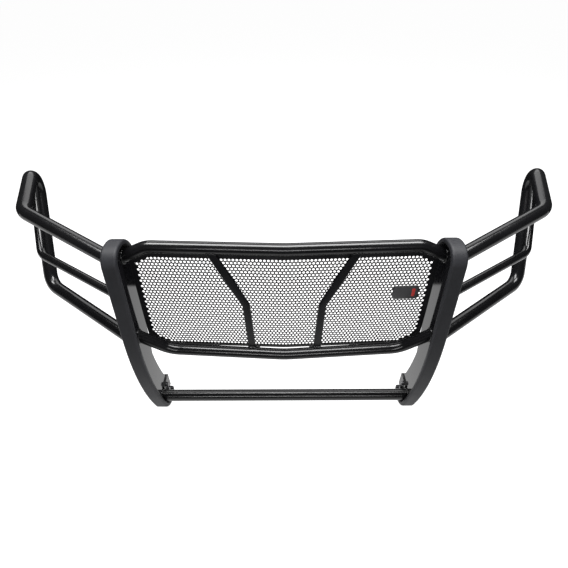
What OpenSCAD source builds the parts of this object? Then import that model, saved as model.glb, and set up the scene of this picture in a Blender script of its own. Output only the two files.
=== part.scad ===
// Front grille guard for a pickup truck.
// A steel weldment of two upright plates, three cross tubes, two wing loops
// with middle rails, a punched screen and two braces. Rubber strips press onto
// the uprights and bolted angle brackets carry the guard on the frame.
// Millimetres. X is across the vehicle, Y runs rearward, Z is up.
// The origin is the middle of the four frame bolts, on the bracket rear faces.

/* [Uprights] */
// Middle of each upright plate, measured from the centre line
upright_x = 556; // [552:1:560]
// Upright plate thickness
plate_t = 8; // [5:0.5:12]
// Depth of the upright plate from its front edge to its rear edge
plate_depth = 124; // [100:1:150]

/* [Rubber strips] */
// Strip width across the upright
strip_w = 52; // [40:1:70]
// Strip thickness
strip_t = 16; // [15:1:20]
// Depth of the slot that presses onto the plate edge
slot_depth = 7; // [5:1:8]
// Rounding of the two front corners
strip_round = 8; // [3:1:9]

/* [Cross tubes] */
// Outside diameter of the top and lower cross tubes
cross_od = 44.5; // [38:0.5:51]
// Outside diameter of the bottom cross tube
bottom_od = 50.8; // [44:0.1:60]
// Wall of every tube
wall = 2.5; // [1.5:0.1:4]

/* [Wings] */
// Outside diameter of the wing loop tube
loop_od = 50.8; // [44:0.1:60]
// Outside diameter of the middle rail
rail_od = 31.8; // [25:0.1:38]
// Distance of the top front corner from the centre line
wing_x = 938; // [880:1:980]

/* [Screen] */
// Screen sheet thickness
screen_t = 2; // [1:0.1:3]
// Half width of the screen
screen_half = 537; // [500:1:540]
// Height of the screen
screen_h = 427; // [380:1:428]

/* [Braces] */
// Face width of a brace
brace_w = 28; // [20:1:36]
// Thickness of a brace
brace_t = 15; // [8:1:20]

/* [Brackets] */
// Bracket plate thickness
bracket_t = 6; // [4:0.5:10]
// Height of the bracket
bracket_h = 72; // [70:1:76]
// Frame bolt hole diameter
mount_hole_d = 13; // [10:0.5:16]
// Distance of a frame bolt hole from the centre line
mount_x = 585; // [575:1:595]
// Vertical distance between frame bolt holes
mount_z_pitch = 40; // [36:1:44]

/* [Badge] */
// Badge width
badge_w = 96; // [60:1:110]
// Badge height
badge_h = 58; // [40:1:70]

/* [Hidden] */
$fn = 64;

inner_face = upright_x - plate_t / 2;
outer_face = upright_x + plate_t / 2;
far = 2000;
bolt_d = 12;
bolt_clear = 13;
head_af = 18;
head_t = 7.5;
nut_t = 10.8;
washer_d = 24;
washer_t = 2.5;
bracket_rear_y = 206;
bracket_low_z = 46;
bolt_y = 160;
bolt_z = [66, 102];
mount_low_z = 62;
mount_z = [mount_low_z, mount_low_z + mount_z_pitch];
mount_mid_z = mount_low_z + mount_z_pitch / 2;

// Side view of the strip face as corner points and bend radii, rear top to rear bottom.
face_line = [
  [0, 207, 800], [0, 207, 915], [0, 49, 915], [0, -21, 328], [0, 91, 0],
  [0, 198, 0], [0, 198, 40]
];
face_bends = [95, 62, 1100, 100, 30];
strip_seat = strip_t - slot_depth;

function unit(v) = v / norm(v);
function turn(p, i) = acos(unit(p[i] - p[i - 1]) * unit(p[i + 1] - p[i]));
function setback(p, r, i) = r[i - 1] * tan(turn(p, i) / 2);
function run_start(p, r, i) =
  i == 0 ? p[0] : p[i] + unit(p[i + 1] - p[i]) * setback(p, r, i);
function run_end(p, r, i) =
  i == len(p) - 2 ? p[i + 1] : p[i + 1] - unit(p[i + 1] - p[i]) * setback(p, r, i + 1);
function bend_axis(p, i) = unit(cross(p[i] - p[i - 1], p[i + 1] - p[i]));
function run_axis(p, i) = i == 0 ? bend_axis(p, 1) : bend_axis(p, i);

module place(o, x, y, z) {
  multmatrix([
    [x[0], y[0], z[0], o[0]],
    [x[1], y[1], z[1], o[1]],
    [x[2], y[2], z[2], o[2]],
    [0, 0, 0, 1]
  ]) children();
}

// Carries a flat section along corner points p with bend radii r.
// Section x points into the bend, section y lies along the bend axis.
// Straight runs reach bend_lap into the bends and are $trim slimmer all round,
// so that every joint is one clean circle.
bend_lap = 1;
run_trim = 0.05;
module follow(p, r) {
  for (i = [0 : len(p) - 2]) {
    t = unit(p[i + 1] - p[i]);
    a = run_start(p, r, i) - t * (i == 0 ? 0 : bend_lap);
    b = run_end(p, r, i) + t * (i == len(p) - 2 ? 0 : bend_lap);
    n = run_axis(p, i);
    place(a, cross(n, t), n, t) linear_extrude(norm(b - a)) {
      $trim = run_trim;
      children();
    }
  }
  for (i = [1 : len(p) - 2]) {
    t = unit(p[i] - p[i - 1]);
    n = bend_axis(p, i);
    inward = cross(n, t);
    centre = run_end(p, r, i - 1) + inward * r[i - 1];
    place(centre, -inward, t, n)
      rotate_extrude(angle = turn(p, i), $fn = 180)
        translate([r[i - 1], 0]) mirror([1, 0]) {
          $trim = 0;
          children();
        }
  }
}

module both_ends(p, r, od) {
  difference() {
    follow(p, r) circle(d = od - 2 * $trim);
    follow(p, r) circle(d = od - 2 * wall - 2 * $trim);
    children();
  }
}

// Everything inside the outer faces of the two uprights.
module between_outer_faces() {
  translate([-outer_face, -far, -far]) cube([2 * outer_face, 2 * far, 2 * far]);
}

// Everything beyond the inner faces of the two uprights.
module beyond_inner_faces() {
  for (side = [-1, 1]) {
    translate([side * (inner_face + far / 2) - far / 2, -far, -far])
      cube([far, 2 * far, 2 * far]);
  }
}

/* Tube centre lines, right-hand side or full width. */
top_line = [
  [-570, 152, 828], [-468, 161, 870], [0, 139, 870], [468, 161, 870], [570, 152, 828]
];
top_bends = [90, 400, 90];
lower_line = [
  [-570, 80, 528], [-450, 96, 423], [0, 66, 423], [450, 96, 423], [570, 80, 528]
];
lower_bends = [95, 400, 95];
bottom_y = 108;
bottom_z = 91;
loop_line = [
  [530, 95, 836], [wing_x, 314, 919], [wing_x + 84, 635, 989],
  [wing_x + 30, 321, 571], [530, 39, 509]
];
loop_bends = [67, 57, 78];
rail_line = [
  [530, 45, 727], [914, 272, 758], [1000, 541, 950]
];
rail_bends = [57];
brace_line = [
  [248, 138, 858], [139, 111, 643], [126, 88, 426]
];
brace_bends = [30];

module top_cross_tube() {
  color([0.05, 0.05, 0.055])
    both_ends(top_line, top_bends, cross_od) beyond_inner_faces();
}

module lower_cross_tube() {
  color([0.05, 0.05, 0.055])
    both_ends(lower_line, lower_bends, cross_od) beyond_inner_faces();
}

module bottom_cross_tube() {
  color([0.05, 0.05, 0.055])
    translate([-inner_face, bottom_y, bottom_z]) rotate([0, 90, 0])
      difference() {
        cylinder(d = bottom_od, h = 2 * inner_face);
        translate([0, 0, -1]) cylinder(d = bottom_od - 2 * wall, h = 2 * inner_face + 2);
      }
}

module wing_loop() {
  color([0.05, 0.05, 0.055])
    both_ends(loop_line, loop_bends, loop_od) between_outer_faces();
}

module wing_rail() {
  color([0.06, 0.06, 0.065])
    both_ends(rail_line, rail_bends, rail_od) {
      between_outer_faces();
      follow(loop_line, loop_bends) circle(d = loop_od - 2 * $trim);
    }
}

/* Upright plate, drawn in side view (y, z) and stood up at its place. */
function side(v) = [v[1], v[2]];
function arc(c, r, from, to, count) =
  [for (i = [0 : count]) c + r * [cos(from + (to - from) * i / count), sin(from + (to - from) * i / count)]];
upper_dir = side(unit(face_line[3] - face_line[2]));
lower_dir = side(unit(face_line[4] - face_line[3]));
upper_angle = atan2(upper_dir[0], -upper_dir[1]) + 180;
lower_angle = atan2(lower_dir[0], -lower_dir[1]) + 180;
upper_in = [-upper_dir[1], upper_dir[0]];
lower_in = [-lower_dir[1], lower_dir[0]];
top_rear_centre = side(face_line[1]) + [-face_bends[0], -face_bends[0]];
top_front_centre = side(run_end(face_line, face_bends, 1)) - [0, face_bends[1]];
long_centre = side(run_end(face_line, face_bends, 2)) + upper_in * face_bends[2];
low_centre = side(run_end(face_line, face_bends, 3)) + lower_in * face_bends[3];
foot_centre = side(face_line[5]) + [-face_bends[4], face_bends[4]];
plate_rear_y = face_line[5][1] - strip_seat;
rear_step_z = 138;
rear_edge = [[176, 540], [190, 700]];

module plate_outline() {
  polygon(concat(
    arc(top_rear_centre, face_bends[0] - strip_seat, 0, 90, 12),
    arc(top_front_centre, face_bends[1] - strip_seat, 90, upper_angle, 12),
    arc(long_centre, face_bends[2] - strip_seat, upper_angle, lower_angle, 14),
    arc(low_centre, face_bends[3] - strip_seat, lower_angle, 270, 12),
    arc(foot_centre, face_bends[4] - strip_seat, 270, 360, 8),
    [[plate_rear_y, rear_step_z]],
    arc(long_centre, face_bends[2] - strip_seat - plate_depth, lower_angle - 1, 186, 10),
    rear_edge
  ));
}

module upright_plate() {
  color([0.04, 0.04, 0.045])
    difference() {
      place([inner_face, 0, 0], [0, 1, 0], [0, 0, 1], [1, 0, 0])
        linear_extrude(plate_t) plate_outline();
      for (z = bolt_z) {
        translate([upright_x - plate_t, bolt_y, z]) rotate([0, 90, 0])
          cylinder(d = bolt_clear, h = 2 * plate_t);
      }
    }
}

module strip_section() {
  half = strip_w / 2 - $trim;
  front = $trim;
  rear = strip_t - $trim;
  slot_half = plate_t / 2 + $trim;
  seat = strip_seat - $trim;
  polygon(concat(
    [[rear, half], [rear, slot_half], [seat, slot_half]],
    [[seat, -slot_half], [rear, -slot_half], [rear, -half]],
    arc([front + strip_round, strip_round - half], strip_round, 270, 180, 6),
    arc([front + strip_round, half - strip_round], strip_round, 180, 90, 6)
  ));
}

module rubber_strip() {
  color([0.16, 0.16, 0.17])
    translate([upright_x, 0, 0]) follow(face_line, face_bends) strip_section();
}

/* Screen: a gently rounded sheet, leaned back and folded at the centre line. */
screen_foot = [0, 102, 420];
screen_lean = 4.4;
screen_fold = 2.75;
screen_radius = 3000;
chamfer_top = [77, 33];
chamfer_low = [34, 28];

module screen_outline() {
  polygon([
    [-40, 0], [screen_half - chamfer_low[0], 0], [screen_half, chamfer_low[1]],
    [screen_half, screen_h - chamfer_top[1]],
    [screen_half - chamfer_top[0], screen_h], [-40, screen_h]
  ]);
}

module screen_half_sheet() {
  intersection() {
    translate(screen_foot) rotate([-screen_lean, 0, screen_fold]) {
      intersection() {
        translate([-60, screen_radius - 6, screen_h / 2]) rotate([0, 90, 0])
          difference() {
            cylinder(r = screen_radius, h = screen_half + 80, $fn = 720);
            translate([0, 0, -1])
              cylinder(r = screen_radius - screen_t, h = screen_half + 82, $fn = 720);
          }
        translate([0, 60, 0]) rotate([90, 0, 0]) linear_extrude(120) screen_outline();
      }
    }
    translate([0, 0, 300]) cube([700, 400, 700]);
  }
}

module punched_screen() {
  color([0.09, 0.09, 0.10])
    difference() {
      union() {
        screen_half_sheet();
        mirror([1, 0, 0]) screen_half_sheet();
      }
      at_studs() translate([0, 0, -10]) cylinder(d = stud_d + 1, h = 12);
    }
}

/* Shelf tabs that tie the foot of the screen to the lower cross tube. */
tab_x = [110, 270, 410];
tab_w = 26;
tab_t = 4;
tab_z = 432;
tab_front_y = 76;
tab_rear_y = 102.6;
tube_slope = 30 / 450;

module screen_tabs() {
  color([0.05, 0.05, 0.055])
    for (side = [-1, 1], x = tab_x) {
      front = tab_front_y + x * tube_slope;
      rear = tab_rear_y + x * tan(screen_fold);
      difference() {
        translate([side * x - tab_w / 2, front, tab_z]) cube([tab_w, rear - front, tab_t]);
        follow(lower_line, lower_bends) circle(d = cross_od - 2 * $trim);
      }
    }
}

module brace_section() {
  edge = 4 + $trim;
  w = brace_w - 2 * $trim;
  t = brace_t - 2 * $trim;
  translate([-w / 2 + edge, -t / 2]) square([w - 2 * edge, t]);
  translate([-w / 2, -t / 2 + edge]) square([w, t - 2 * edge]);
  for (a = [-1, 1], b = [-1, 1]) {
    translate([a * (w / 2 - edge), b * (t / 2 - edge)]) circle(r = edge);
  }
}

module brace() {
  color([0.07, 0.07, 0.075])
    difference() {
      follow(brace_line, brace_bends) brace_section();
      follow(top_line, top_bends) circle(d = cross_od - 2 * $trim);
      follow(lower_line, lower_bends) circle(d = cross_od - 2 * $trim);
    }
}

/* Angle bracket: a leg on the inner face of the upright, a flange turned outward at the rear. */
leg_front_y = 134;
flange_w = 70;
flange_corner = 10;

module flange_outline() {
  inner = inner_face - bracket_t;
  outer = inner + flange_w;
  low = bracket_low_z;
  top = bracket_low_z + bracket_h;
  polygon(concat(
    [[inner, low]],
    arc([outer - flange_corner, low + flange_corner], flange_corner, 270, 360, 6),
    arc([outer - flange_corner, top - flange_corner], flange_corner, 0, 90, 6),
    [[inner, top]]
  ));
}

module mount_bracket() {
  color([0.05, 0.05, 0.055])
    difference() {
      union() {
        translate([inner_face - bracket_t, leg_front_y, bracket_low_z])
          cube([bracket_t, bracket_rear_y - leg_front_y, bracket_h]);
        place([0, bracket_rear_y, 0], [1, 0, 0], [0, 0, 1], [0, -1, 0])
          linear_extrude(bracket_t) flange_outline();
      }
      for (z = bolt_z) {
        translate([inner_face - bracket_t - 1, bolt_y, z]) rotate([0, 90, 0])
          cylinder(d = bolt_clear, h = bracket_t + 2);
      }
      for (z = mount_z) {
        translate([mount_x, bracket_rear_y + 1, z]) rotate([90, 0, 0])
          cylinder(d = mount_hole_d, h = bracket_t + 2);
      }
    }
}

module at_bracket_bolts(x) {
  for (side = [-1, 1], z = bolt_z) {
    translate([side * x, bolt_y, z]) rotate([0, side * 90, 0]) children();
  }
}

washer_in_x = inner_face - bracket_t;
head_x = washer_in_x - washer_t;

module bracket_bolts() {
  bolt_len = 36;
  color([0.35, 0.35, 0.36])
    at_bracket_bolts(head_x) {
      translate([0, 0, -head_t]) cylinder(d = head_af / cos(30), h = head_t, $fn = 6);
      translate([0, 0, -0.5]) cylinder(d = bolt_d, h = bolt_len);
    }
}

module washer() {
  difference() {
    cylinder(d = washer_d, h = washer_t);
    translate([0, 0, -1]) cylinder(d = bolt_clear, h = washer_t + 2);
  }
}

module bracket_washers() {
  color([0.4, 0.4, 0.41]) {
    at_bracket_bolts(head_x) washer();
    at_bracket_bolts(outer_face) washer();
  }
}

module bracket_nuts() {
  color([0.36, 0.36, 0.37])
    at_bracket_bolts(outer_face + washer_t)
      difference() {
        cylinder(d = head_af / cos(30), h = nut_t, $fn = 6);
        translate([0, 0, -1]) cylinder(d = bolt_d + 0.2, h = nut_t + 2);
      }
}

/* Plain badge on the right half of the screen, in the leaned frame of that half. */
badge_x = 441;
badge_up = 262;
badge_t = 3;
badge_gap = 1;
badge_tip = 0.9;
stud_pitch = 60;
stud_d = 5;

module on_badge() {
  translate(screen_foot) rotate([-screen_lean, 0, screen_fold])
    translate([badge_x, -5.6, badge_up]) rotate([90 + badge_tip, 0, 0]) children();
}

module at_studs() {
  on_badge() for (a = [-1, 1]) {
    translate([a * stud_pitch / 2, 0, 0]) children();
  }
}

module badge_plate() {
  corner = 12;
  color([0.3, 0.3, 0.32])
    on_badge() translate([0, 0, badge_gap]) linear_extrude(badge_t) {
      square([badge_w - 2 * corner, badge_h], center = true);
      square([badge_w, badge_h - 2 * corner], center = true);
      for (a = [-1, 1], b = [-1, 1]) {
        translate([a * (badge_w / 2 - corner), b * (badge_h / 2 - corner)])
          circle(r = corner);
      }
    }
}

module badge_studs() {
  color([0.45, 0.45, 0.46])
    at_studs() translate([0, 0, -9]) cylinder(d = stud_d, h = 9 + badge_gap);
}

module badge_nuts() {
  color([0.4, 0.4, 0.41])
    at_studs() translate([0, 0, -6.4]) difference() {
      cylinder(d = 10, h = 4, $fn = 6);
      translate([0, 0, -1]) cylinder(d = stud_d + 0.2, h = 6);
    }
}

module at_origin() {
  translate([0, -bracket_rear_y, -mount_mid_z]) children();
}

module mirrored() {
  mirror([1, 0, 0]) children();
}

at_origin() mirrored() upright_plate();  // upright_plate_left
at_origin() upright_plate();  // upright_plate_right
at_origin() mirrored() rubber_strip();  // rubber_strip_left
at_origin() rubber_strip();  // rubber_strip_right
at_origin() top_cross_tube();
at_origin() lower_cross_tube();
at_origin() bottom_cross_tube();
at_origin() punched_screen();
at_origin() screen_tabs();
at_origin() mirrored() brace();  // brace_left
at_origin() brace();  // brace_right
at_origin() mirrored() wing_loop();  // wing_loop_left
at_origin() wing_loop();  // wing_loop_right
at_origin() mirrored() wing_rail();  // wing_rail_left
at_origin() wing_rail();  // wing_rail_right
at_origin() mirrored() mount_bracket();  // mount_bracket_left
at_origin() mount_bracket();  // mount_bracket_right
at_origin() bracket_bolts();
at_origin() bracket_washers();
at_origin() bracket_nuts();
at_origin() badge_plate();
at_origin() badge_studs();
at_origin() badge_nuts();
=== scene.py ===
import math

import bmesh
import bpy
import numpy as np
from mathutils import Euler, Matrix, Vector


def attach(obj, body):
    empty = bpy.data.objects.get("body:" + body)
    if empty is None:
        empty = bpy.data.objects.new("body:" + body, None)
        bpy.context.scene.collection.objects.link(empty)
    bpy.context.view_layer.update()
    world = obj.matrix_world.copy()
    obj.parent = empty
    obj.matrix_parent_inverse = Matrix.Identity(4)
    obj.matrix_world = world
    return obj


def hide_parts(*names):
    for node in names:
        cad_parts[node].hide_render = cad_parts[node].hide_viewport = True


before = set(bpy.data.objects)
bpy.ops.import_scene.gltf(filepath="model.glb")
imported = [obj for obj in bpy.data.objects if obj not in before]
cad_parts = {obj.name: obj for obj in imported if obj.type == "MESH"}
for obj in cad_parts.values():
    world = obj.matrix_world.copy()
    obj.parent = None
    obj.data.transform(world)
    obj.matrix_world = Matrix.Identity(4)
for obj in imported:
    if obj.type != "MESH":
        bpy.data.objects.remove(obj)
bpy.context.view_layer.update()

# Working numbers are in millimetres, with z = 0 at the foot of the uprights.
# DATUM is the row origin in those numbers: the middle of the frame bolts.
DATUM = np.array([0.0, 206.0, 82.0])
BODY = "root"


def row(points):
    """Working millimetres to metres in the row frame."""
    return (np.asarray(points, float) - DATUM) * 0.001


def unit(v):
    """The same direction at length one."""
    v = np.asarray(v, float)
    return v / np.linalg.norm(v)


# ---------------------------------------------------------------- materials

# Height of the coatings' orange peel, in metres.
PEEL_DEPTH = 0.00005


def new_material(name):
    """A node material, its tree and its shader."""
    mat = bpy.data.materials.new(name)
    mat.use_nodes = True
    return mat, mat.node_tree, mat.node_tree.nodes["Principled BSDF"]


def noise(tree, scale, detail=3.0, rough=0.5):
    """Noise in object coordinates."""
    coords = tree.nodes.new("ShaderNodeTexCoord")
    tex = tree.nodes.new("ShaderNodeTexNoise")
    tex.inputs["Scale"].default_value = scale
    tex.inputs["Detail"].default_value = detail
    tex.inputs["Roughness"].default_value = rough
    tree.links.new(coords.outputs["Object"], tex.inputs["Vector"])
    return tex


def remap(tree, source, low, high):
    """The middle of a noise stretched from low to high."""
    node = tree.nodes.new("ShaderNodeMapRange")
    node.inputs["From Min"].default_value = 0.3
    node.inputs["From Max"].default_value = 0.7
    node.inputs["To Min"].default_value = low
    node.inputs["To Max"].default_value = high
    tree.links.new(source, node.inputs["Value"])
    return node.outputs["Result"]


def mix_colour(tree, source, a, b):
    """A blend of two colours by a noise."""
    ramp = tree.nodes.new("ShaderNodeValToRGB")
    ramp.color_ramp.elements[0].position = 0.3
    ramp.color_ramp.elements[1].position = 0.7
    ramp.color_ramp.elements[0].color = (*a, 1)
    ramp.color_ramp.elements[1].color = (*b, 1)
    tree.links.new(source, ramp.inputs["Fac"])
    return ramp.outputs["Color"]


def bump(tree, shader, height, strength, distance):
    """Surface grain from a height, on the shader."""
    node = tree.nodes.new("ShaderNodeBump")
    node.inputs["Strength"].default_value = strength
    node.inputs["Distance"].default_value = distance
    tree.links.new(height, node.inputs["Height"])
    tree.links.new(node.outputs["Normal"], shader.inputs["Normal"])
    return node


def coated(name, base, rough, peel, peel_scale=260.0):
    """Powder coat: faintly blotched paint, with orange peel where peel is above zero."""
    mat, tree, sh = new_material(name)
    blotch = noise(tree, 9.0, 4.0)
    tree.links.new(
        mix_colour(tree, blotch.outputs["Fac"], base, tuple(c * 1.35 for c in base)),
        sh.inputs["Base Color"],
    )
    tree.links.new(remap(tree, blotch.outputs["Fac"], rough * 0.85, rough * 1.2), sh.inputs["Roughness"])
    sh.inputs["Specular IOR Level"].default_value = 0.5
    grain = noise(tree, peel_scale, 2.0, 0.4)
    bump(tree, sh, grain.outputs["Fac"], peel, PEEL_DEPTH)
    return mat


def make_rubber():
    """Dull, faintly clouded black rubber with a fine grain."""
    mat, tree, sh = new_material("strip_rubber")
    cloud = noise(tree, 14.0, 5.0, 0.6)
    tree.links.new(
        mix_colour(tree, cloud.outputs["Fac"], (0.010, 0.0105, 0.0135), (0.014, 0.0145, 0.018)),
        sh.inputs["Base Color"],
    )
    tree.links.new(remap(tree, cloud.outputs["Fac"], 0.56, 0.64), sh.inputs["Roughness"])
    sh.inputs["Specular IOR Level"].default_value = 0.42
    grain = noise(tree, 900.0, 3.0, 0.6)
    bump(tree, sh, grain.outputs["Fac"], 0.25, 0.0004)
    return mat


def make_metal(name, colour, rough):
    """Bare or plated metal with a fine grain."""
    mat, tree, sh = new_material(name)
    cloud = noise(tree, 120.0, 4.0)
    tree.links.new(
        mix_colour(tree, cloud.outputs["Fac"], tuple(c * 0.8 for c in colour), colour),
        sh.inputs["Base Color"],
    )
    tree.links.new(remap(tree, cloud.outputs["Fac"], rough * 0.8, rough * 1.2), sh.inputs["Roughness"])
    sh.inputs["Metallic"].default_value = 1.0
    grain = noise(tree, 700.0, 2.0)
    bump(tree, sh, grain.outputs["Fac"], 0.15, 0.0002)
    return mat


GLOSS = coated("gloss_black", (0.004, 0.004, 0.0045), 0.2, 0.0)
PLATE = coated("plate_black", (0.006, 0.006, 0.007), 0.08, 0.02)
SCREEN = coated("screen_black", (0.006, 0.006, 0.007), 0.32, 0.0, 500.0)
BRACE = coated("brace_black", (0.005, 0.005, 0.006), 0.24, 0.0)
RUBBER = make_rubber()
ZINC = make_metal("zinc_hardware", (0.13, 0.13, 0.135), 0.38)
BADGE = make_metal("badge_metal", (0.22, 0.22, 0.23), 0.4)
BADGE_DARK = coated("badge_inlay", (0.035, 0.035, 0.037), 0.4, 0.05)
BADGE_RED = coated("badge_accent", (0.35, 0.02, 0.015), 0.4, 0.05)


# ---------------------------------------------------------------- mesh helpers


def add(name, verts, faces, mat, nodes=(), smooth=40.0, bevel=None):
    """A mesh piece from millimetre points, smooth below an edge angle."""
    mesh = bpy.data.meshes.new(name)
    mesh.from_pydata([tuple(v) for v in row(verts)], [], [tuple(map(int, f)) for f in faces])
    mesh.validate()
    bm = bmesh.new()
    bm.from_mesh(mesh)
    bmesh.ops.remove_doubles(bm, verts=bm.verts, dist=1e-6)
    bmesh.ops.recalc_face_normals(bm, faces=bm.faces)
    bm.to_mesh(mesh)
    bm.free()
    mesh.materials.append(mat)
    obj = bpy.data.objects.new(name, mesh)
    bpy.context.scene.collection.objects.link(obj)
    if bevel:
        mod = obj.modifiers.new("edges", "BEVEL")
        mod.width = bevel * 0.001
        mod.segments = 3
        mod.limit_method = "ANGLE"
        mod.angle_limit = math.radians(32)
        mod.use_clamp_overlap = True
    for p in mesh.polygons:
        p.use_smooth = True
    mesh.set_sharp_from_angle(angle=math.radians(smooth))
    if bevel:
        wn = obj.modifiers.new("normals", "WEIGHTED_NORMAL")
        wn.keep_sharp = False
    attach(obj, BODY)
    if nodes:
        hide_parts(*nodes)
    return obj


def join(parts):
    """Several (verts, faces) as one."""
    verts, faces, n = [], [], 0
    for v, f in parts:
        v = np.asarray(v, float)
        verts.append(v)
        faces += [[i + n for i in face] for face in f]
        n += len(v)
    return np.vstack(verts), faces


def flip_x(part):
    """A (verts, faces) pair mirrored across the middle of the guard."""
    v, f = part
    return np.asarray(v, float) * [-1, 1, 1], [list(reversed(face)) for face in f]


def rounded_path(points, radii, degrees=2.5):
    """Points along a line with round bends."""
    p = [np.asarray(q, float) for q in points]
    out = [p[0]]
    for i in range(1, len(p) - 1):
        a, b = unit(p[i] - p[i - 1]), unit(p[i + 1] - p[i])
        angle = math.acos(np.clip(a @ b, -1, 1))
        r = radii[i - 1]
        back = r * math.tan(angle / 2)
        axis = unit(np.cross(a, b))
        inward = np.cross(axis, a)
        start = p[i] - a * back
        centre = start + inward * r
        steps = max(3, int(math.degrees(angle) / degrees))
        for k in range(steps + 1):
            t = angle * k / steps
            out.append(centre + r * (-inward * math.cos(t) + a * math.sin(t)))
    out.append(p[-1])
    return np.array(out)


def subdivide_path(path, longest):
    """The same line with no step longer than longest."""
    out = [path[0]]
    for a, b in zip(path[:-1], path[1:]):
        n = max(1, int(math.ceil(np.linalg.norm(b - a) / longest)))
        for k in range(1, n + 1):
            out.append(a + (b - a) * k / n)
    return np.array(out)


def tangents(path, closed=False):
    """Unit directions along a path, one per point."""
    if closed:
        t = np.roll(path, -1, 0) - np.roll(path, 1, 0)
    else:
        t = np.gradient(path, axis=0)
        t[0], t[-1] = path[1] - path[0], path[-1] - path[-2]
    return t / np.linalg.norm(t, axis=1)[:, None]


# A direction that no part of the guard runs along.
ANY_SIDE = [0.3, 0.5, 0.8]


def frames(path, closed=False, first=None):
    """Side directions that turn as little as possible along the path."""
    t = tangents(path, closed)
    if first is None:
        first = np.cross(t[0], ANY_SIDE)
    n = [unit(first - t[0] * (first @ t[0]))]
    for k in range(1, len(path)):
        v = n[-1] - t[k] * (n[-1] @ t[k])
        n.append(unit(v))
    n = np.array(n)
    return n, np.cross(t, n)


def sweep(path, section, first=None, closed=False, scale=None):
    """A ring of the section's 2D points at each point of the path."""
    n, b = frames(path, closed, first)
    s = np.asarray(section, float)
    k = np.ones(len(path)) if scale is None else np.asarray(scale, float)
    return (
        path[:, None, :]
        + n[:, None, :] * (s[None, :, 0] * k[:, None])[..., None]
        + b[:, None, :] * (s[None, :, 1] * k[:, None])[..., None]
    )


def skin(rings, closed=False):
    """Quads between rings of points, with flat ends unless closed."""
    m, c = rings.shape[0], rings.shape[1]
    verts = rings.reshape(-1, 3)
    faces = []
    for i in range(m if closed else m - 1):
        j = (i + 1) % m
        for q in range(c):
            r = (q + 1) % c
            faces.append([i * c + q, i * c + r, j * c + r, j * c + q])
    if not closed:
        faces.append(list(range(c))[::-1])
        faces.append([(m - 1) * c + q for q in range(c)])
    return verts, faces


def circle(r, count=48):
    """Points round a circle."""
    a = np.linspace(0, 2 * math.pi, count, endpoint=False)
    return np.stack([r * np.cos(a), r * np.sin(a)], -1)


def round_rect(w, h, r, steps=5):
    """Points round a rectangle with rounded corners."""
    out = []
    for cx, cy, a0 in ((w / 2 - r, h / 2 - r, 0), (r - w / 2, h / 2 - r, 90),
                       (r - w / 2, r - h / 2, 180), (w / 2 - r, r - h / 2, 270)):
        for k in range(steps + 1):
            a = math.radians(a0 + 90 * k / steps)
            out.append((cx + r * math.cos(a), cy + r * math.sin(a)))
    return np.array(out)


def onto_plane(ring, direction, x):
    """Slides a ring along direction until it lies on the plane at x."""
    return ring + direction * ((x - ring[:, :1]) / direction[0])


def run_to(point, direction, x):
    """Where a line from point along direction meets the plane at x."""
    return point + direction * ((x - point[0]) / direction[0])


def tube(path, r, ends=(None, None), count=48):
    """Rings of a round tube. An end with a number is cut flush with the plane at that x."""
    rings = sweep(path, circle(r, count))
    if ends[0] is not None:
        rings[0] = onto_plane(rings[0], unit(path[1] - path[0]), ends[0])
    if ends[1] is not None:
        rings[-1] = onto_plane(rings[-1], unit(path[-1] - path[-2]), ends[1])
    return rings


def centreline_distance(points, path):
    """Distance from each point to a line of samples."""
    a, b = path[:-1], path[1:]
    ab = b - a
    best = np.full(len(points), 1e9)
    for k in range(len(a)):
        t = np.clip(((points - a[k]) @ ab[k]) / (ab[k] @ ab[k]), 0, 1)
        d = np.linalg.norm(points - (a[k] + t[:, None] * ab[k]), axis=1)
        best = np.minimum(best, d)
    return best


def landing(starts, direction, path, r, reach=160.0):
    """Where lines from starts along direction first touch a tube round path. Misses are left out."""
    out, gap = [], 0
    steps = np.linspace(0, reach, 641)
    for s in starts:
        line = s + direction * steps[:, None]
        touch = centreline_distance(line, path) < r
        if touch.any():
            out.append(line[np.argmax(touch)])
        else:
            gap = len(out)
    return np.array(out[gap:] + out[:gap])


def resample(curve, step, closed=True):
    """A curve as evenly spaced points about step apart."""
    p = np.vstack([curve, curve[:1]]) if closed else curve
    s = np.r_[0, np.cumsum(np.linalg.norm(np.diff(p, axis=0), axis=1))]
    n = max(8, int(s[-1] / step))
    t = np.linspace(0, s[-1], n, endpoint=not closed)
    return np.stack([np.interp(t, s, p[:, k]) for k in range(3)], -1)


def weld(curve, r=3.6, closed=True, pitch=5.0):
    """A rippled bead along a joint."""
    path = resample(curve, 1.3, closed)
    along = np.r_[0, np.cumsum(np.linalg.norm(np.diff(path, axis=0), axis=1))]
    phase = (along / pitch) % 1.0
    size = 1.0 + 0.16 * np.sqrt(np.clip(1 - (2 * phase - 1) ** 2, 0, 1)) - 0.08
    if not closed:
        taper = np.minimum(np.arange(len(path)), np.arange(len(path))[::-1]) / 3.0
        size = size * np.clip(taper, 0.15, 1)
    t = tangents(path, closed)
    first = np.cross(t[0], [0.2, 0.9, 0.4])
    rings = sweep(path, circle(r, 10), first, closed, scale=size)
    return skin(rings, closed)


# ---------------------------------------------------------------- shared lines

UPRIGHT_X, PLATE_T = 556.0, 8.0
INNER, OUTER = UPRIGHT_X - PLATE_T / 2, UPRIGHT_X + PLATE_T / 2
STRIP_W, STRIP_T, SLOT, STRIP_ROUND = 52.0, 16.0, 7.0, 8.0
SEAT = STRIP_T - SLOT
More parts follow.
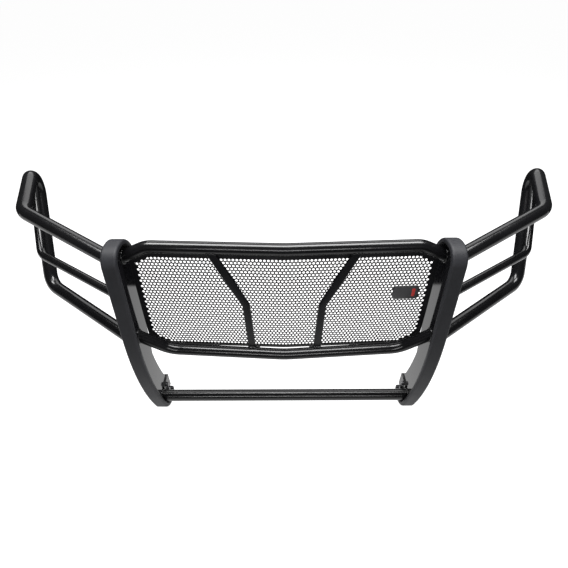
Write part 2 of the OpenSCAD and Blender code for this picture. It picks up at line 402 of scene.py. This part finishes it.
# Rear edge of the upright: its depth behind the front edge, and where it steps and widens.
PLATE_DEPTH, REAR_STEP_Z = 124.0, 138.0
REAR_EDGE = [(176, 540), (190, 700)]
FACE_LINE = [(0, 207, 800), (0, 207, 915), (0, 49, 915), (0, -21, 328), (0, 91, 0),
             (0, 198, 0), (0, 198, 40)]
FACE_BENDS = [95, 62, 1100, 100, 30]

TOP_LINE = [(-570, 152, 828), (-468, 161, 870), (0, 139, 870), (468, 161, 870), (570, 152, 828)]
LOWER_LINE = [(-570, 80, 528), (-450, 96, 423), (0, 66, 423), (450, 96, 423), (570, 80, 528)]
TOP_BENDS = [90, 400, 90]
LOWER_BENDS = [95, 400, 95]
LOOP_LINE = [(530, 95, 836), (938, 314, 919), (1022, 635, 989), (968, 321, 571), (530, 39, 509)]
LOOP_BENDS = [67, 57, 78]
RAIL_LINE = [(530, 45, 727), (914, 272, 758), (1000, 541, 950)]
RAIL_BENDS = [57]
BRACE_LINE = [(248, 138, 858), (139, 111, 643), (126, 88, 426)]
BRACE_BENDS = [30]
BRACE_W, BRACE_T = 28.0, 15.0
TOP_RUN_LOW_Z, TOP_RUN_REAR_Y = 905.0, 575.0
CROSS_R, LOOP_R, RAIL_R = 22.25, 25.4, 15.9
# How far the middle of a bead stands off a tube, for the rails and for the braces.
BEAD_LIFT, BRACE_BEAD_LIFT = 0.8, 0.6
# The search for a rail's landing starts this far back from its end.
LOOK_BACK = 110.0
BOTTOM_Y, BOTTOM_Z = 108.0, 91.0


# ---------------------------------------------------------------- tubes

beads = []
# Points of a tube's line closer than this to its end plane give way to the end itself.
END_GAP = 2.0


def end_beads(rings, r, inset=2.0):
    """Beads round both ends of a tube between the uprights."""
    return [weld(rings[0] + [inset, 0, 0], r), weld(rings[-1] - [inset, 0, 0], r)]


def cross_tube(name, line, bends, node):
    """A tube between the inner faces of the uprights, with a bead at each end."""
    path = subdivide_path(rounded_path(line, bends), 60)
    core = path[np.abs(path[:, 0]) < INNER - END_GAP]
    first = run_to(core[0], unit(core[0] - core[1]), -INNER)
    last = run_to(core[-1], unit(core[-1] - core[-2]), INNER)
    path = np.vstack([first, core, last])
    rings = tube(path, CROSS_R, (-INNER, INNER))
    add(name, *skin(rings), GLOSS, (node,))
    beads.extend(end_beads(rings, 3.4))
    return path


top_path = cross_tube("top_tube_visual", TOP_LINE, TOP_BENDS, "top_cross_tube")
lower_path = cross_tube("lower_tube_visual", LOWER_LINE, LOWER_BENDS, "lower_cross_tube")

bottom_ends = np.array([(-INNER, BOTTOM_Y, BOTTOM_Z), (INNER, BOTTOM_Y, BOTTOM_Z)], float)
bottom_rings = tube(subdivide_path(bottom_ends, 60), LOOP_R, (-INNER, INNER), 64)
add("bottom_tube_visual", *skin(bottom_rings), GLOSS, ("bottom_cross_tube",))
beads.extend(end_beads(bottom_rings, 3.6))

loop_full = subdivide_path(rounded_path(LOOP_LINE, LOOP_BENDS), 60)


def wing(side_name, mirror):
    """A loop from the outer face of an upright and back, and the rail inside it."""
    core = loop_full[loop_full[:, 0] > OUTER + END_GAP]
    first = run_to(core[0], unit(core[0] - core[1]), OUTER)
    last = run_to(core[-1], unit(core[-1] - core[-2]), OUTER)
    loop = np.vstack([first, core, last])
    rings = tube(loop, LOOP_R, (OUTER, OUTER), 56)
    part = skin(rings)
    joints = [weld(rings[0] + [2.0, 0, 0], 3.6), weld(rings[-1] + [2.0, 0, 0], 3.6)]

    rail = subdivide_path(rounded_path(RAIL_LINE, RAIL_BENDS), 40)
    core = rail[rail[:, 0] > OUTER + END_GAP]
    rail = np.vstack([run_to(core[0], unit(core[0] - core[1]), OUTER), core])
    rings = tube(rail, RAIL_R, (OUTER, None), 40)
    end_dir = unit(rail[-1] - rail[-2])
    # The rail lands on the upper run of the loop, ahead of its rearmost bend.
    top_run = loop_full[(loop_full[:, 2] > TOP_RUN_LOW_Z) & (loop_full[:, 1] < TOP_RUN_REAR_Y)]
    curve = landing(rings[-1] - end_dir * LOOK_BACK, end_dir, top_run, LOOP_R + BEAD_LIFT)
    joints += [weld(rings[0] + [1.8, 0, 0], 3.0), weld(curve, 3.0)]
    rail_part = skin(rings)
    if mirror:
        part, rail_part, joints = flip_x(part), flip_x(rail_part), [flip_x(j) for j in joints]
    add(f"wing_loop_{side_name}_visual", *part, GLOSS, (f"wing_loop_{side_name}",))
    add(f"wing_rail_{side_name}_visual", *rail_part, GLOSS, (f"wing_rail_{side_name}",))
    beads.extend(joints)


wing("right", False)
wing("left", True)

# ---------------------------------------------------------------- uprights

face_path = rounded_path(FACE_LINE, FACE_BENDS, 2.0)


def plate_outline():
    """Side view of the upright, front edge, foot, rear edge and crown."""
    line = [np.array(p, float) for p in FACE_LINE]
    upper, lower = unit(line[3] - line[2]), unit(line[4] - line[3])
    u_in = np.array([-upper[2], upper[1]])
    l_in = np.array([-lower[2], lower[1]])
    half = math.acos(upper @ lower) / 2
    back = FACE_BENDS[2] * math.tan(half)
    start = (line[3] - upper * back)[1:]
    long_c = start + u_in * FACE_BENDS[2]
    low_half = math.acos(lower @ np.array([0, 1.0, 0])) / 2
    low_start = (line[4] - lower * FACE_BENDS[3] * math.tan(low_half))[1:]
    low_c = low_start + l_in * FACE_BENDS[3]
    top_half = math.acos(np.array([0, -1.0, 0]) @ upper) / 2
    top_start = line[2] - np.array([0, -1.0, 0]) * FACE_BENDS[1] * math.tan(top_half)
    front_c = top_start[1:] - [0, FACE_BENDS[1]]
    rear_c = line[1][1:] - FACE_BENDS[0]
    foot_c = line[5][1:] + [-FACE_BENDS[4], FACE_BENDS[4]]
    ua = math.degrees(math.atan2(-u_in[1], -u_in[0])) % 360
    la = math.degrees(math.atan2(-l_in[1], -l_in[0])) % 360

    def arc(c, r, a0, a1, n):
        a = np.radians(np.linspace(a0, a1, n + 1))
        return np.stack([c[0] + r * np.cos(a), c[1] + r * np.sin(a)], -1)

    return np.vstack([
        arc(rear_c, FACE_BENDS[0] - SEAT, 0, 90, 16),
        arc(front_c, FACE_BENDS[1] - SEAT, 90, ua, 16),
        arc(long_c, FACE_BENDS[2] - SEAT, ua, la, 40),
        arc(low_c, FACE_BENDS[3] - SEAT, la, 270, 16),
        arc(foot_c, FACE_BENDS[4] - SEAT, 270, 360, 12),
        [(line[5][1] - SEAT, REAR_STEP_Z)],
        arc(long_c, FACE_BENDS[2] - SEAT - PLATE_DEPTH, la - 1, 186, 30),
        REAR_EDGE,
    ])


def plate(side_name, x):
    """An upright plate, cut to the side view and centred at x."""
    outline = plate_outline()
    n = len(outline)
    verts = np.vstack([
        np.c_[np.full(n, x - PLATE_T / 2), outline],
        np.c_[np.full(n, x + PLATE_T / 2), outline],
    ])
    faces = [list(range(n)), list(range(n, 2 * n))[::-1]]
    faces += [[i, (i + 1) % n, n + (i + 1) % n, n + i] for i in range(n)]
    node = f"upright_plate_{side_name}"
    add(f"{node}_visual", verts, faces, PLATE, (node,), bevel=1.0)


plate("right", UPRIGHT_X)
plate("left", -UPRIGHT_X)


def strip_section():
    """Rubber section: x runs inward from the face, y across. Rounded front, slotted back."""
    half, r = STRIP_W / 2, STRIP_ROUND
    pts = [(STRIP_T - 1.2, half), (STRIP_T, half - 1.2), (STRIP_T, PLATE_T / 2 + 1.5),
           (STRIP_T - 1.5, PLATE_T / 2), (SEAT, PLATE_T / 2), (SEAT, -PLATE_T / 2),
           (STRIP_T - 1.5, -PLATE_T / 2), (STRIP_T, -PLATE_T / 2 - 1.5),
           (STRIP_T, 1.2 - half), (STRIP_T - 1.2, -half)]
    for k in range(9):
        a = math.radians(270 - 90 * k / 8)
        pts.append((r + r * math.cos(a), r - half + r * math.sin(a)))
    # The flat face between the two rounded corners.
    for k in range(1, 8):
        y = (r - half) + (STRIP_W - 2 * r) * k / 8
        pts.append((0.0, y))
    for k in range(9):
        a = math.radians(180 - 90 * k / 8)
        pts.append((r + r * math.cos(a), half - r + r * math.sin(a)))
    return np.array(pts)


def strip(side_name, x):
    """A rubber strip swept along the face line, from the rear of the crown to the rear of the foot."""
    path = subdivide_path(face_path, 24)
    t = tangents(path)
    section = strip_section()
    inward = np.stack([np.zeros(len(t)), -t[:, 2], t[:, 1]], -1)
    rings = (
        path[:, None, :]
        + inward[:, None, :] * section[None, :, :1]
        + np.array([1.0, 0, 0])[None, None, :] * section[None, :, 1:]
    )
    mid = rings.mean(1, keepdims=True)
    heads, tails = [], []
    # Each end closes with three smaller rings, which round its edge.
    for size, ahead in ((0.88, 0.0), (0.95, 0.6), (0.985, 1.6)):
        heads.append(mid[0] + (rings[0] - mid[0]) * size + t[0] * ahead)
        tails.append(mid[-1] + (rings[-1] - mid[-1]) * size - t[-1] * ahead)
    rings[0] = rings[0] + t[0] * 3.0
    rings[-1] = rings[-1] - t[-1] * 3.0
    rings = np.concatenate([np.array(heads), rings, np.array(tails)[::-1]])
    rings = rings + [x, 0, 0]
    add(f"rubber_strip_{side_name}_visual", *skin(rings), RUBBER, (f"rubber_strip_{side_name}",), smooth=50)


strip("right", UPRIGHT_X)
strip("left", -UPRIGHT_X)

# ---------------------------------------------------------------- braces


def brace(side_name, mirror):
    """A bent flat bar from the top cross tube down to the lower one."""
    path = subdivide_path(rounded_path(BRACE_LINE, BRACE_BENDS, 3.0), 30)
    a, b = unit(path[1] - path[0]), unit(path[-1] - path[-2])
    axis = unit(np.cross(a, b))
    section = round_rect(BRACE_W, BRACE_T, 4.2, 6)
    first = np.cross(axis, a)
    rings = sweep(path, section, first)
    part = skin(rings)
    up = landing(rings[4], -a, top_path, CROSS_R + BRACE_BEAD_LIFT, 160)
    down = landing(rings[-4], b, lower_path, CROSS_R + BRACE_BEAD_LIFT, 110)
    joints = [weld(c, 2.6, closed=len(c) == len(section)) for c in (up, down)]
    if mirror:
        part, joints = flip_x(part), [flip_x(j) for j in joints]
    add(f"brace_{side_name}_visual", *part, BRACE, (f"brace_{side_name}",), smooth=35)
    beads.extend(joints)


brace("right", False)
brace("left", True)

# ---------------------------------------------------------------- punched screen

FOOT = np.array([0.0, 102.0, 420.0])
LEAN, FOLD = math.radians(4.4), math.radians(2.75)
CURVE_R, SCREEN_H, SCREEN_HALF, SCREEN_T = 3000.0, 427.0, 537.0, 2.0
CHAMFER_TOP, CHAMFER_LOW = (77.0, 33.0), (34.0, 28.0)
# Half width and cut corners of the punched field, whose plain margin is wider.
HOLES_HALF, HOLES_TOP, HOLES_LOW = 516.0, (50.0, 28.0), (60.0, 48.0)
PITCH, HOLE_R = 13.5, 5.0
ROW_PITCH = PITCH * math.sqrt(3) / 2
HEM_W = 12.0


def on_screen(u, w, depth):
    """Sheet coordinates to millimetres. depth is behind the front face."""
    u, w, depth = (np.asarray(q, float) for q in (u, w, depth))
    y = -6 + CURVE_R - np.sqrt(CURVE_R**2 - (w - SCREEN_H / 2) ** 2) + depth
    y2 = y * math.cos(LEAN) + w * math.sin(LEAN)
    z2 = -y * math.sin(LEAN) + w * math.cos(LEAN)
    fold = np.sqrt(u**2 + 16.0) - 4.0
    return np.stack([u * math.cos(FOLD), FOOT[1] + fold * math.sin(FOLD) + y2, FOOT[2] + z2], -1)


def inside(u, w, half, foot, top, cut_top, cut_low):
    """Is a sheet point inside a rectangle with cut corners?"""
    au = abs(u)
    if au > half or w < foot or w > top:
        return False
    for (cu, cw), depth in ((cut_top, top - w), (cut_low, w - foot)):
        if (half - au) / cu + depth / cw < 1:
            return False
    return True


def build_screen():
    """The sheet as hexagonal cells. Those in the punched field each have a hole, and the rest are plain."""
    rows = int(SCREEN_H / ROW_PITCH)
    w0 = (SCREEN_H - (rows - 1) * ROW_PITCH) / 2
    # Even k are edge middles, odd k are corners of a hexagon with upright sides.
    reach = [PITCH / 2 if k % 2 == 0 else PITCH / math.sqrt(3) for k in range(12)]
    turn = [math.radians(30 * k) for k in range(12)]
    cell = np.array([(r * math.cos(a), r * math.sin(a)) for r, a in zip(reach, turn)])
    hole = circle(HOLE_R, 12)
    points, depths, faces = [], [], []
    n = 0
    for j in range(rows):
        w = w0 + j * ROW_PITCH
        shift = PITCH / 2 if j % 2 else 0.0
        for i in range(-40, 41):
            u = i * PITCH + shift
            if not inside(u, w, SCREEN_HALF - 5, 5, SCREEN_H - 5, CHAMFER_TOP, CHAMFER_LOW):
                continue
            ring = cell + [u, w]
            if inside(u, w, HOLES_HALF, 14, SCREEN_H - 13, HOLES_TOP, HOLES_LOW):
                block = [ring, hole + [u, w]] * 2
                for k in range(12):
                    m = (k + 1) % 12
                    faces.append([n + k, n + m, n + 12 + m, n + 12 + k])
                    faces.append([n + 24 + m, n + 24 + k, n + 36 + k, n + 36 + m])
                    faces.append([n + 12 + k, n + 12 + m, n + 36 + m, n + 36 + k])
            else:
                block = [ring] * 2
                faces.append([n + k for k in range(12)])
                faces.append([n + 12 + k for k in range(12)][::-1])
            block = np.vstack(block)
            points.append(block)
            depths += [0] * (len(block) // 2) + [SCREEN_T] * (len(block) // 2)
            n += len(block)
    points = np.vstack(points)
    return on_screen(points[:, 0], points[:, 1], depths), faces


def screen_hem():
    """The plain margin: a band with rolled edges round the outline, both faces."""
    outline = [
        (0, 0), (SCREEN_HALF - CHAMFER_LOW[0], 0), (SCREEN_HALF, CHAMFER_LOW[1]),
        (SCREEN_HALF, SCREEN_H - CHAMFER_TOP[1]), (SCREEN_HALF - CHAMFER_TOP[0], SCREEN_H), (0, SCREEN_H),
    ]
    full = outline + [(-u, w) for u, w in outline[::-1][1:-1]]
    full = np.array(full, float)
    n = len(full)
    inner = []
    for k in range(n):
        a, b, c = full[k - 1], full[k], full[(k + 1) % n]
        e1, e2 = (b - a) / np.linalg.norm(b - a), (c - b) / np.linalg.norm(c - b)
        n1, n2 = np.array([-e1[1], e1[0]]), np.array([-e2[1], e2[0]])
        m = n1 + n2
        m = m / (m @ n1)
        inner.append(b + m * HEM_W)
    inner = np.array(inner)
    dense_o, dense_i = [], []
    for k in range(n):
        a, b = full[k], full[(k + 1) % n]
        c, d = inner[k], inner[(k + 1) % n]
        steps = max(1, int(np.linalg.norm(b - a) / 16))
        for q in range(steps):
            dense_o.append(a + (b - a) * q / steps)
            dense_i.append(c + (d - c) * q / steps)
    o, i = np.array(dense_o), np.array(dense_i)
    profile = [(0.06, -0.35), (0.0, 0.2), (0.0, 1.8), (0.06, 2.35), (1.0, 2.35), (1.0, -0.35)]
    rings = []
    for f, d in profile:
        p = o + (i - o) * f
        rings.append(on_screen(p[:, 0], p[:, 1], np.full(len(p), d)))
    rings = np.array(rings).transpose(1, 0, 2)
    return skin(rings, closed=True)


# Beads that close the seams from the screen up to the bent tube ends.
for side in (-1, 1):
    t = np.linspace(0, 1, 24)
    seam_u = SCREEN_HALF - CHAMFER_TOP[0] * (1 - t)
    seam_w = SCREEN_H - CHAMFER_TOP[1] * t + 2
    beads.append(weld(on_screen(side * seam_u, seam_w, 1 + 0 * t), 3.0, closed=False))

add("punched_screen_visual", *join([build_screen(), screen_hem()]), SCREEN, ("punched_screen",), smooth=30)

# ---------------------------------------------------------------- tabs


def box(lo, hi):
    """A plain box between two corners."""
    x0, y0, z0 = lo
    x1, y1, z1 = hi
    v = [(x, y, z) for x in (x0, x1) for y in (y0, y1) for z in (z0, z1)]
    f = [(0, 1, 3, 2), (4, 6, 7, 5), (0, 4, 5, 1), (2, 3, 7, 6), (0, 2, 6, 4), (1, 5, 7, 3)]
    return np.array(v, float), [list(q) for q in f]


TAB_X, TAB_HALF_W, TAB_Z, TAB_T = (110, 270, 410), 13, 432, 4
TAB_FRONT_Y, TAB_REAR_Y = 76, 102.6
# How far the lower tube and the folded screen draw back for each millimetre from the middle.
TUBE_SLOPE, FOLD_SLOPE = 30 / 450, 0.048

tabs = []
for x in TAB_X:
    for side in (-1, 1):
        low = (side * x - TAB_HALF_W, TAB_FRONT_Y + x * TUBE_SLOPE, TAB_Z)
        high = (side * x + TAB_HALF_W, TAB_REAR_Y + x * FOLD_SLOPE, TAB_Z + TAB_T)
        tabs.append(box(low, high))
add("screen_tabs_visual", *join(tabs), GLOSS, ("screen_tabs",), bevel=1.2)

# ---------------------------------------------------------------- brackets and fasteners


BOLT_Y, BOLT_Z = 160.0, (66.0, 102.0)
BRACKET_T = 6.0
HEX_AF, HEAD_T, NUT_T = 18, 7.5, 10.8
WASHER_T = 2.5
WASHER = [(0, 6.6), (0, 11.6), (0.4, 12), (2.1, 12), (WASHER_T, 11.6), (WASHER_T, 6.6)]
SHANK_R, ROOT_R, THREAD_PITCH, THREAD_FROM, THREAD_TO = 5.9, 5.2, 1.75, 20.0, 35.0


def lathe(profile, origin, axis, count=32):
    """profile: (distance along axis, radius) pairs."""
    axis = unit(axis)
    side = unit(np.cross(axis, [0.1, 0.3, 0.9]))
    other = np.cross(axis, side)
    a = np.linspace(0, 2 * math.pi, count, endpoint=False)
    rings = []
    for h, r in profile:
        rings.append(
            np.asarray(origin, float) + axis * h
            + r * (np.cos(a)[:, None] * side + np.sin(a)[:, None] * other)
        )
    return skin(np.array(rings))


def hexagon(flats, height, origin, axis, chamfer=1.6, turn=0.0):
    """A hex head with a chamfered outer face."""
    axis = unit(axis)
    side = unit(np.cross(axis, [0.0, 0.0, 1.0]))
    other = np.cross(axis, side)
    big = flats / math.sqrt(3)
    count = 36
    rings = []
    for h, cut in ((0, flats * 0.52), (0.6, big), (height - chamfer, big), (height, flats * 0.48)):
        ring = []
        for k in range(count):
            a = 2 * math.pi * k / count + turn
            hexr = (flats / 2) / math.cos((a - turn) % (math.pi / 3) - math.pi / 6)
            spoke = math.cos(a) * side + math.sin(a) * other
            ring.append(np.asarray(origin, float) + axis * h + min(hexr, cut) * spoke)
        rings.append(ring)
    return skin(np.array(rings))


def bolt_shank():
    """Side profile of a bolt below its head, with a thread toward the tip."""
    profile = [(0, SHANK_R)]
    h = THREAD_FROM
    while h < THREAD_TO:
        profile += [(h, SHANK_R), (h + 0.9, ROOT_R)]
        h += THREAD_PITCH
    return profile + [(THREAD_TO, 5.0), (THREAD_TO + 0.5, 4.4)]


bolts, washers, nuts = [], [], []
for side in (-1, 1):
    for i, z in enumerate(BOLT_Z):
        out = np.array([side, 0, 0], float)
        turn = 0.3 + 0.5 * i + 0.2 * side
        head = (side * (INNER - BRACKET_T - WASHER_T), BOLT_Y, z)
        bolts.append(hexagon(HEX_AF, HEAD_T, head, -out, turn=turn))
        bolts.append(lathe(bolt_shank(), head, out, 24))
        washers.append(lathe(WASHER, head, out))
        washers.append(lathe(WASHER, (side * OUTER, BOLT_Y, z), out))
        nuts.append(hexagon(HEX_AF, NUT_T, (side * (OUTER + WASHER_T), BOLT_Y, z), out, turn=turn + 0.4))
add("bracket_bolts_visual", *join(bolts), ZINC, ("bracket_bolts",), smooth=30)
add("bracket_washers_visual", *join(washers), ZINC, ("bracket_washers",), smooth=30)
add("bracket_nuts_visual", *join(nuts), ZINC, ("bracket_nuts",), smooth=30)

# ---------------------------------------------------------------- badge

# Middle of the badge on the sheet, and the shift of its accent bar.
BADGE_U, BADGE_W, ACCENT_SHIFT = 441.0, 262.0, 28.0


def badge_part(outline_w, outline_h, r, low, high, bevel, shift=0.0):
    """A rounded plate on the screen, between two heights above the sheet."""
    rings = []
    for h, inset in ((low, 0.0), (high - bevel, 0.0), (high - bevel * 0.3, bevel * 0.3), (high, bevel)):
        pts = round_rect(outline_w - 2 * inset, outline_h - 2 * inset, r - inset * 0.6, 8)
        rings.append(on_screen(BADGE_U + shift + pts[:, 0], BADGE_W + pts[:, 1], np.full(len(pts), -h)))
    return skin(np.array(rings))


add("badge_plate_visual", *badge_part(96, 58, 12, 1.3, 4.3, 1.2), BADGE, ("badge_plate",), smooth=40)
add("badge_inlay", *badge_part(88, 50, 9, 4.0, 4.6, 0.3), BADGE_DARK, smooth=40)
add("badge_accent", *badge_part(12, 34, 3, 4.3, 4.9, 0.3, ACCENT_SHIFT), BADGE_RED, smooth=40)

add("weld_beads", *join(beads), GLOSS, smooth=80)

# These keep the CAD's own mesh and only take a material.
KEPT_NODES = {
    "mount_bracket_left": GLOSS, "mount_bracket_right": GLOSS, "badge_studs": ZINC, "badge_nuts": ZINC,
}
for name, mat in KEPT_NODES.items():
    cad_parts[name].data.materials.clear()
    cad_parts[name].data.materials.append(mat)

# ---------------------------------------------------------------- stage, light, camera


def make_stage():
    """A white floor. In glossy reflections it is a white sheet round the part and dark beyond."""
    mat, tree, sh = new_material("stage_white")
    sh.inputs["Base Color"].default_value = (0.3, 0.3, 0.3, 1)
    sh.inputs["Roughness"].default_value = 0.9
    sh.inputs["Specular IOR Level"].default_value = 0.0
    sh.inputs["Emission Color"].default_value = (1, 1, 1, 1)
    sh.inputs["Emission Strength"].default_value = 0.97
    place = tree.nodes.new("ShaderNodeNewGeometry")
    split = tree.nodes.new("ShaderNodeSeparateXYZ")
    tree.links.new(place.outputs["Position"], split.inputs[0])
    both = tree.nodes.new("ShaderNodeMath")
    both.operation = "MULTIPLY"
    for k, (start, end, low, high) in enumerate((SHEET_FRONT, SHEET_REAR)):
        edge = tree.nodes.new("ShaderNodeMapRange")
        edge.inputs["From Min"].default_value = start
        edge.inputs["From Max"].default_value = end
        edge.inputs["To Min"].default_value = low
        edge.inputs["To Max"].default_value = high
        tree.links.new(split.outputs["Y"], edge.inputs["Value"])
        tree.links.new(edge.outputs["Result"], both.inputs[k])
    glow = tree.nodes.new("ShaderNodeEmission")
    tree.links.new(both.outputs[0], glow.inputs["Strength"])
    path = tree.nodes.new("ShaderNodeLightPath")
    mix = tree.nodes.new("ShaderNodeMixShader")
    tree.links.new(path.outputs["Is Glossy Ray"], mix.inputs[0])
    tree.links.new(sh.outputs[0], mix.inputs[1])
    tree.links.new(glow.outputs[0], mix.inputs[2])
    tree.links.new(mix.outputs[0], tree.nodes["Material Output"].inputs["Surface"])
    half, z = 30.0, float(row([0, 0, 0])[2]) - 0.001
    mesh = bpy.data.meshes.new("floor")
    corners = [(-half, -half, z), (half, -half, z), (half, half, z), (-half, half, z)]
    mesh.from_pydata(corners, [], [(0, 1, 2, 3)])
    mesh.materials.append(mat)
    floor = bpy.data.objects.new("floor", mesh)
    bpy.context.scene.collection.objects.link(floor)


def make_world():
    """Pale behind the part, dim as a light."""
    world = bpy.data.worlds.new("studio")
    bpy.context.scene.world = world
    world.use_nodes = True
    tree = world.node_tree
    seen = tree.nodes["Background"]
    seen.inputs["Strength"].default_value = 1.0
    dim = tree.nodes.new("ShaderNodeBackground")
    dim.inputs["Strength"].default_value = 0.04
    for shade in (seen, dim):
        shade.inputs["Color"].default_value = (1, 1, 1, 1)
    path = tree.nodes.new("ShaderNodeLightPath")
    mix = tree.nodes.new("ShaderNodeMixShader")
    tree.links.new(path.outputs["Is Camera Ray"], mix.inputs[0])
    tree.links.new(dim.outputs[0], mix.inputs[1])
    tree.links.new(seen.outputs[0], mix.inputs[2])
    tree.links.new(mix.outputs[0], tree.nodes["World Output"].inputs["Surface"])


def area(name, place, target, size, power):
    """A white soft box at place, aimed at target. Metres and watts."""
    light = bpy.data.lights.new(name, "AREA")
    light.shape = "RECTANGLE"
    light.size, light.size_y = size
    light.energy = power
    obj = bpy.data.objects.new(name, light)
    obj.location = place
    obj.rotation_euler = (Vector(target) - Vector(place)).to_track_quat("-Z", "Y").to_euler()
    bpy.context.scene.collection.objects.link(obj)
    obj.visible_camera = False


# The white sheet under the part fades in from the front and ends behind it, in metres.
SHEET_FRONT, SHEET_REAR = (-1.3, -0.3, 0.0, 1.0), (0.77, 0.79, 1.0, 0.0)
make_stage()
make_world()

area("overhead", (0, 0.1, 3.2), (0, 0.1, 0), (3.6, 1.1), 200)
area("front_strip", (0, -3.2, 1.6), (0, 0, 0.4), (2.6, 0.3), 32)
area("rear_panel", (0, 3.2, 3.2), (0, 0, 0.6), (4.6, 2.2), 75)

CAMERA_SPOT, CAMERA_TILT, CAMERA_ROLL = [0, -958, 1641], 50.0, -0.25

cam = bpy.data.cameras.new("camera")
cam.lens = 25.35
cam.sensor_width = 36.0
cam.shift_x = -0.0005
cam_obj = bpy.data.objects.new("camera", cam)
cam_obj.location = row(CAMERA_SPOT)
cam_obj.rotation_euler = (
    Euler((math.radians(CAMERA_TILT), 0, 0)).to_matrix()
    @ Euler((0, 0, math.radians(CAMERA_ROLL))).to_matrix()
).to_euler()
bpy.context.scene.collection.objects.link(cam_obj)
bpy.context.scene.camera = cam_obj
bpy.context.scene.view_settings.view_transform = "Standard"
